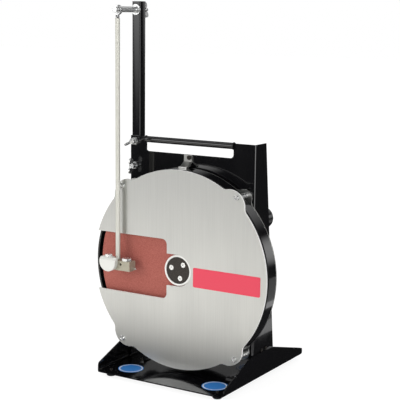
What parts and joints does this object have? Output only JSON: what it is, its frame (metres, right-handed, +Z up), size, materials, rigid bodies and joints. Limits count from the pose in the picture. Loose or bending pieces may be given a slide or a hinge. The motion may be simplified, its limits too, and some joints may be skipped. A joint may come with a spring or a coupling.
{
  "type": "shearing comb grinder",
  "caption": "Bench grinder with a flat abrasive disc behind a windowed round cover, on a folded stand, and a comb holder hanging on a swinging arm from a clamped mast.",
  "frame": {"origin": "on the ground under the middle of the base, halfway between its sides and its front and rear edges", "axes": "+X to the right seen from the front, +Y to the back along the disc's shaft, +Z up"},
  "size_m": [0.318, 0.262, 0.592],
  "materials": {
    "black_powder_coat": "gloss black powder coat",
    "cover_stainless": "fine brushed stainless sheet",
    "plate_steel": "bright cut sheet",
    "zinc_plated_steel": "bright zinc plate",
    "arm_steel": "drawn bright bar",
    "joint_steel": "polished",
    "holder_alloy": "milled",
    "pad_plastic": "moulded, satin",
    "magnet_nickel": "nickel plated",
    "pin_steel": "ground",
    "abrasive_sheet": "coarse grit, bonded",
    "platter_alloy": "turned",
    "hub_alloy": "turned",
    "cap_dark": "dark oxide",
    "white_zinc": "white zinc plate",
    "label_film": "printed film",
    "sticker_film": "printed film",
    "foot_rubber": "moulded",
    "motor_alloy": "cast, painted light grey",
    "cowl_paint": "satin",
    "fan_plastic": "moulded",
    "core_laminations": "stacked sheet",
    "winding_copper": "varnished",
    "shaft_steel": "ground",
    "bearing_steel": "polished",
    "capacitor_plastic": "moulded black",
    "box_plastic": "moulded black",
    "gland_plastic": "moulded black",
    "rocker_plastic": "moulded"
  },
  "bodies": {
    "frame": {"base_plate": "black_powder_coat", "stand_panel": "black_powder_coat", "guard_ring": "black_powder_coat", "hand_rail": "black_powder_coat", "mast_guide": "black_powder_coat", "floor_angles": "black_powder_coat", "front_cover": "cover_stainless", "rear_plate": "plate_steel", "guard_bracket": "plate_steel", "base_screws": "zinc_plated_steel", "stand_screws": "zinc_plated_steel", "cover_screws": "zinc_plated_steel", "cover_spacers": "zinc_plated_steel", "rear_standoffs": "zinc_plated_steel", "guard_rivets": "zinc_plated_steel", "clamp_nuts": "zinc_plated_steel", "motor_screws": "zinc_plated_steel", "motor_tie_rods": "zinc_plated_steel", "capacitor_clip": "zinc_plated_steel", "cover_label": "label_film", "floor_stickers": "sticker_film", "rubber_feet": "foot_rubber", "motor_front_shield": "motor_alloy", "motor_housing": "motor_alloy", "motor_rear_shield": "motor_alloy", "fan_cowl": "cowl_paint", "stator_core": "core_laminations", "stator_windings": "winding_copper", "bearing_outer_rings": "bearing_steel", "capacitor": "capacitor_plastic", "switch_box": "box_plastic", "switch_lid": "box_plastic", "cable_gland": "gland_plastic"},
    "disc_set": {"abrasive_disc": "abrasive_sheet", "platter": "platter_alloy", "drive_hub": "hub_alloy", "clamp_ring": "hub_alloy", "hub_cap": "cap_dark", "hub_screws": "white_zinc", "motor_shaft": "shaft_steel", "rotor_core": "core_laminations", "cooling_fan": "fan_plastic", "bearing_inner_rings": "bearing_steel", "bearing_balls": "bearing_steel"},
    "mast_set": {"mast": "black_powder_coat", "pivot_bolt": "zinc_plated_steel", "pivot_sleeve": "zinc_plated_steel", "pivot_washers": "zinc_plated_steel"},
    "wing_nut": {"pivot_wing_nut": "zinc_plated_steel"},
    "ball_joint": {"pivot_ball": "joint_steel"},
    "swing_arm": {"arm_eye": "joint_steel", "arm_rod": "arm_steel"},
    "comb_holder": {"holder_block": "holder_alloy", "finger_pad": "pad_plastic", "holder_screws": "zinc_plated_steel", "holder_magnets": "magnet_nickel", "comb_pins": "pin_steel"},
    "upper_clamp_screw": {"upper_wing_screw": "zinc_plated_steel"},
    "lower_clamp_screw": {"lower_wing_screw": "zinc_plated_steel"},
    "rocker": {"switch_rocker": "rocker_plastic"}
  },
  "joints": [
    {"name": "disc_spin", "type": "hinge", "parent": "frame", "child": "disc_set", "pos_m": [0, -0.077, 0.177], "axis": [0, 1, 0], "continuous": true},
    {"name": "mast_slide", "type": "slide", "parent": "frame", "child": "mast_set", "axis": [0, 0, 1], "range_m": [-0.03, 0.02]},
    {"name": "wing_nut_turn", "type": "hinge", "parent": "mast_set", "child": "wing_nut", "pos_m": [-0.106, -0.022, 0.579], "axis": [0, 1, 0], "continuous": true},
    {"name": "pendulum_swing", "type": "hinge", "parent": "mast_set", "child": "ball_joint", "pos_m": [-0.106, -0.0866, 0.579], "axis": [0, 1, 0], "range_deg": [-6.5, 12]},
    {"name": "pendulum_tilt", "type": "hinge", "parent": "ball_joint", "child": "swing_arm", "pos_m": [-0.106, -0.0866, 0.579], "axis": [1, 0, 0], "range_deg": [-6, 0.6]},
    {"name": "holder_turn", "type": "hinge", "parent": "swing_arm", "child": "comb_holder", "pos_m": [-0.106, -0.0866, 0.177], "axis": [0, 0, 1], "range_deg": [-4, 4]},
    {"name": "upper_clamp_turn", "type": "hinge", "parent": "frame", "child": "upper_clamp_screw", "pos_m": [-0.106, -0.045, 0.3704], "axis": [0, 1, 0], "continuous": true},
    {"name": "lower_clamp_turn", "type": "hinge", "parent": "frame", "child": "lower_clamp_screw", "pos_m": [-0.106, -0.045, 0.331], "axis": [0, 1, 0], "continuous": true},
    {"name": "switch_rock", "type": "hinge", "parent": "frame", "child": "rocker", "pos_m": [0, 0.016, 0.2694], "axis": [1, 0, 0], "range_deg": [0, 16]}
  ]
}
